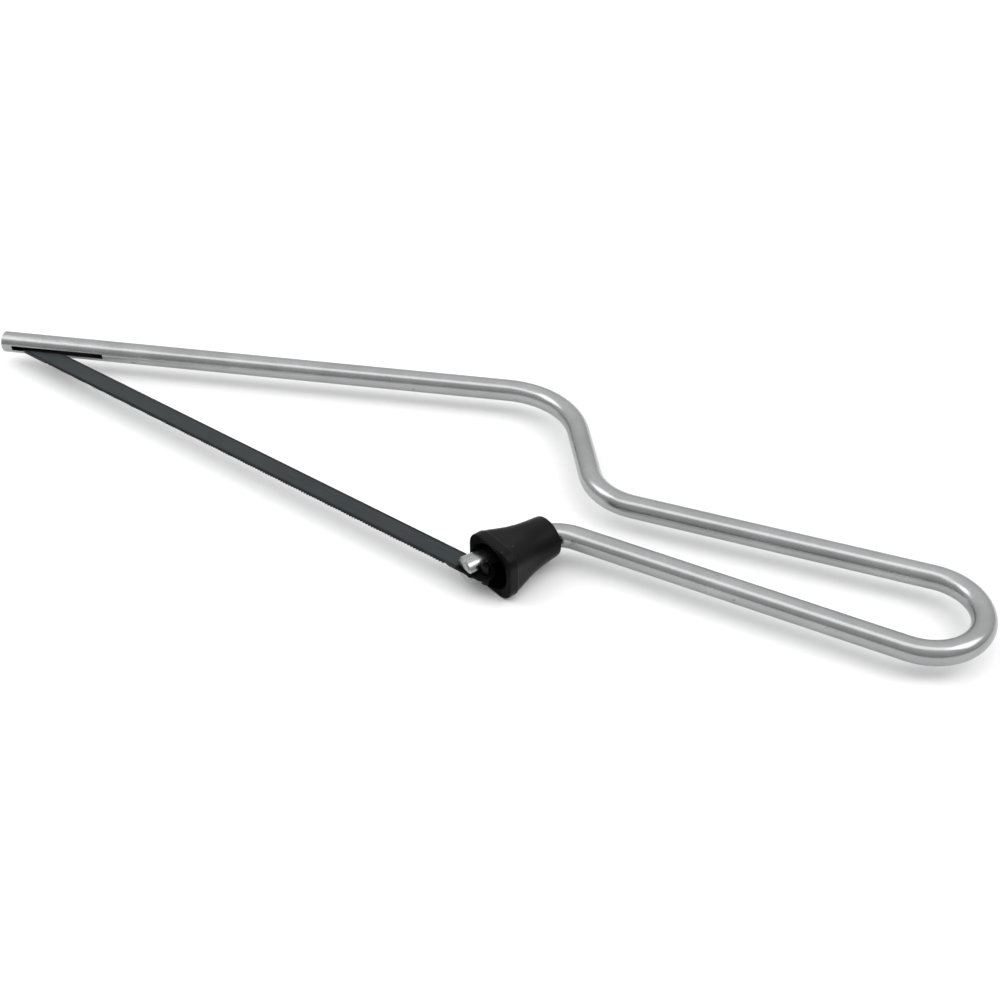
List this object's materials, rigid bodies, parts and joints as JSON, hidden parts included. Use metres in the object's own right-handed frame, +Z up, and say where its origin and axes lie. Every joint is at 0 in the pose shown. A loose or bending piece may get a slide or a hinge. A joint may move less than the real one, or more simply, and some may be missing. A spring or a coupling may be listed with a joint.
{
  "type": "small bow saw",
  "caption": "Small bow saw for metal: a bent plated rod with a wire-loop handle, a pinned blade and a loose moulded knob.",
  "frame": {"origin": "centre of the bounding box's base, on the level of the knob flange's flat underside", "axes": "+X along the straight arm, from its front end towards the handle; +Y out of the bow, away from the blade; +Z up, square to the bow's plane"},
  "size_m": [0.2436, 0.083, 0.0124],
  "materials": {
    "plated_rod": "satin nickel plate",
    "pin_steel": "plain",
    "blued_steel": "blued",
    "black_moulding": "semi-gloss"
  },
  "bodies": {
    "bow": {"frame_rod": "plated_rod", "front_pin": "pin_steel"},
    "blade": {"saw_blade": "blued_steel", "rear_pin": "pin_steel"},
    "knob_body": {"knob": "black_moulding"}
  },
  "joints": [
    {"name": "blade_swing", "type": "hinge", "parent": "bow", "child": "blade", "pos_m": [-0.11392, 0.03755, 0.0062], "axis": [0, 0, 1], "range_deg": [-40, 0]},
    {"name": "knob_turn", "type": "hinge", "parent": "bow", "child": "knob_body", "pos_m": [0.01648, -0.0278, 0.0062], "axis": [-0.6494, -0.7604, 0], "continuous": true}
  ]
}
